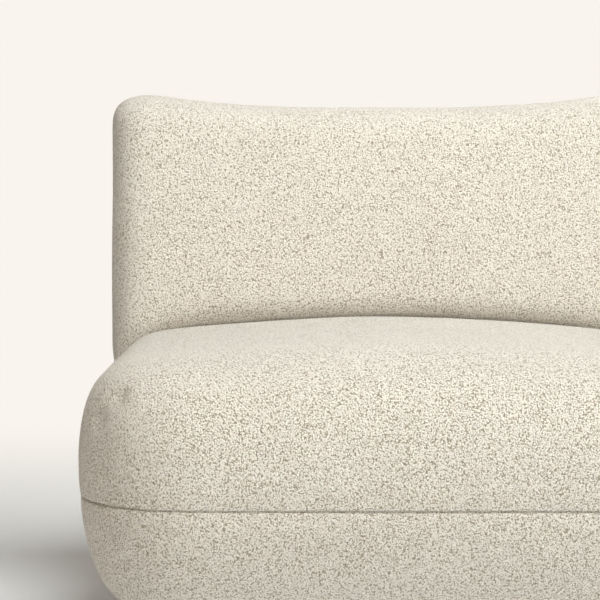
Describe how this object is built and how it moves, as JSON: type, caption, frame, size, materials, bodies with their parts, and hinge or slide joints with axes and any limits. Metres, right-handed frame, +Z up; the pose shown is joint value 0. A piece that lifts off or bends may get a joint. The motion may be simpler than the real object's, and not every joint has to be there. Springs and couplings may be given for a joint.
{
  "type": "sofa",
  "caption": "Armless two-seat sofa in cream boucle, with rounded pebble seats, puffy back blocks and short turned wooden legs.",
  "frame": {"origin": "on the floor, at the middle of the sofa's plan", "axes": "+X to the sofa's right as seen from the front, +Y to the rear, +Z up; the seat faces -Y"},
  "size_m": [1.597, 0.8792, 0.7508],
  "materials": {
    "boucle": "looped cream boucle",
    "foam": "open-cell polyurethane foam",
    "timber": "planed softwood and plywood",
    "leg_wood": "satin lacquered hardwood",
    "webbing": "woven elastic belt",
    "dust_cloth": "non-woven cloth",
    "steel": "zinc plated",
    "plate_paint": "black powder coat"
  },
  "bodies": {
    "root": {"left_seat_cover_upper": "boucle", "left_seat_cover_lower": "boucle", "left_back_cover": "boucle", "left_seat_foam": "foam", "left_edge_foam": "foam", "left_back_foam": "foam", "left_front_rail": "timber", "left_rear_rail": "timber", "left_outer_side_rail": "timber", "left_inner_side_rail": "timber", "left_outer_back_post": "timber", "left_inner_back_post": "timber", "left_back_panel": "timber", "left_webbing_1": "webbing", "left_webbing_2": "webbing", "left_webbing_3": "webbing", "left_dust_cover": "dust_cloth", "left_front_outer_leg": "leg_wood", "left_front_outer_leg_bolt": "steel", "left_front_inner_leg": "leg_wood", "left_front_inner_leg_bolt": "steel", "left_rear_outer_leg": "leg_wood", "left_rear_outer_leg_bolt": "steel", "left_rear_inner_leg": "leg_wood", "left_rear_inner_leg_bolt": "steel", "left_front_link_bolt": "steel", "left_rear_link_bolt": "steel", "right_seat_cover_upper": "boucle", "right_seat_cover_lower": "boucle", "right_back_cover": "boucle", "right_seat_foam": "foam", "right_edge_foam": "foam", "right_back_foam": "foam", "right_front_rail": "timber", "right_rear_rail": "timber", "right_outer_side_rail": "timber", "right_inner_side_rail": "timber", "right_outer_back_post": "timber", "right_inner_back_post": "timber", "right_back_panel": "timber", "right_webbing_1": "webbing", "right_webbing_2": "webbing", "right_webbing_3": "webbing", "right_dust_cover": "dust_cloth", "right_front_outer_leg": "leg_wood", "right_front_outer_leg_bolt": "steel", "right_front_inner_leg": "leg_wood", "right_front_inner_leg_bolt": "steel", "right_rear_outer_leg": "leg_wood", "right_rear_outer_leg_bolt": "steel", "right_rear_inner_leg": "leg_wood", "right_rear_inner_leg_bolt": "steel", "right_front_link_bolt": "steel", "right_rear_link_bolt": "steel", "front_link_plate": "plate_paint", "rear_link_plate": "plate_paint"}
  },
  "joints": []
}
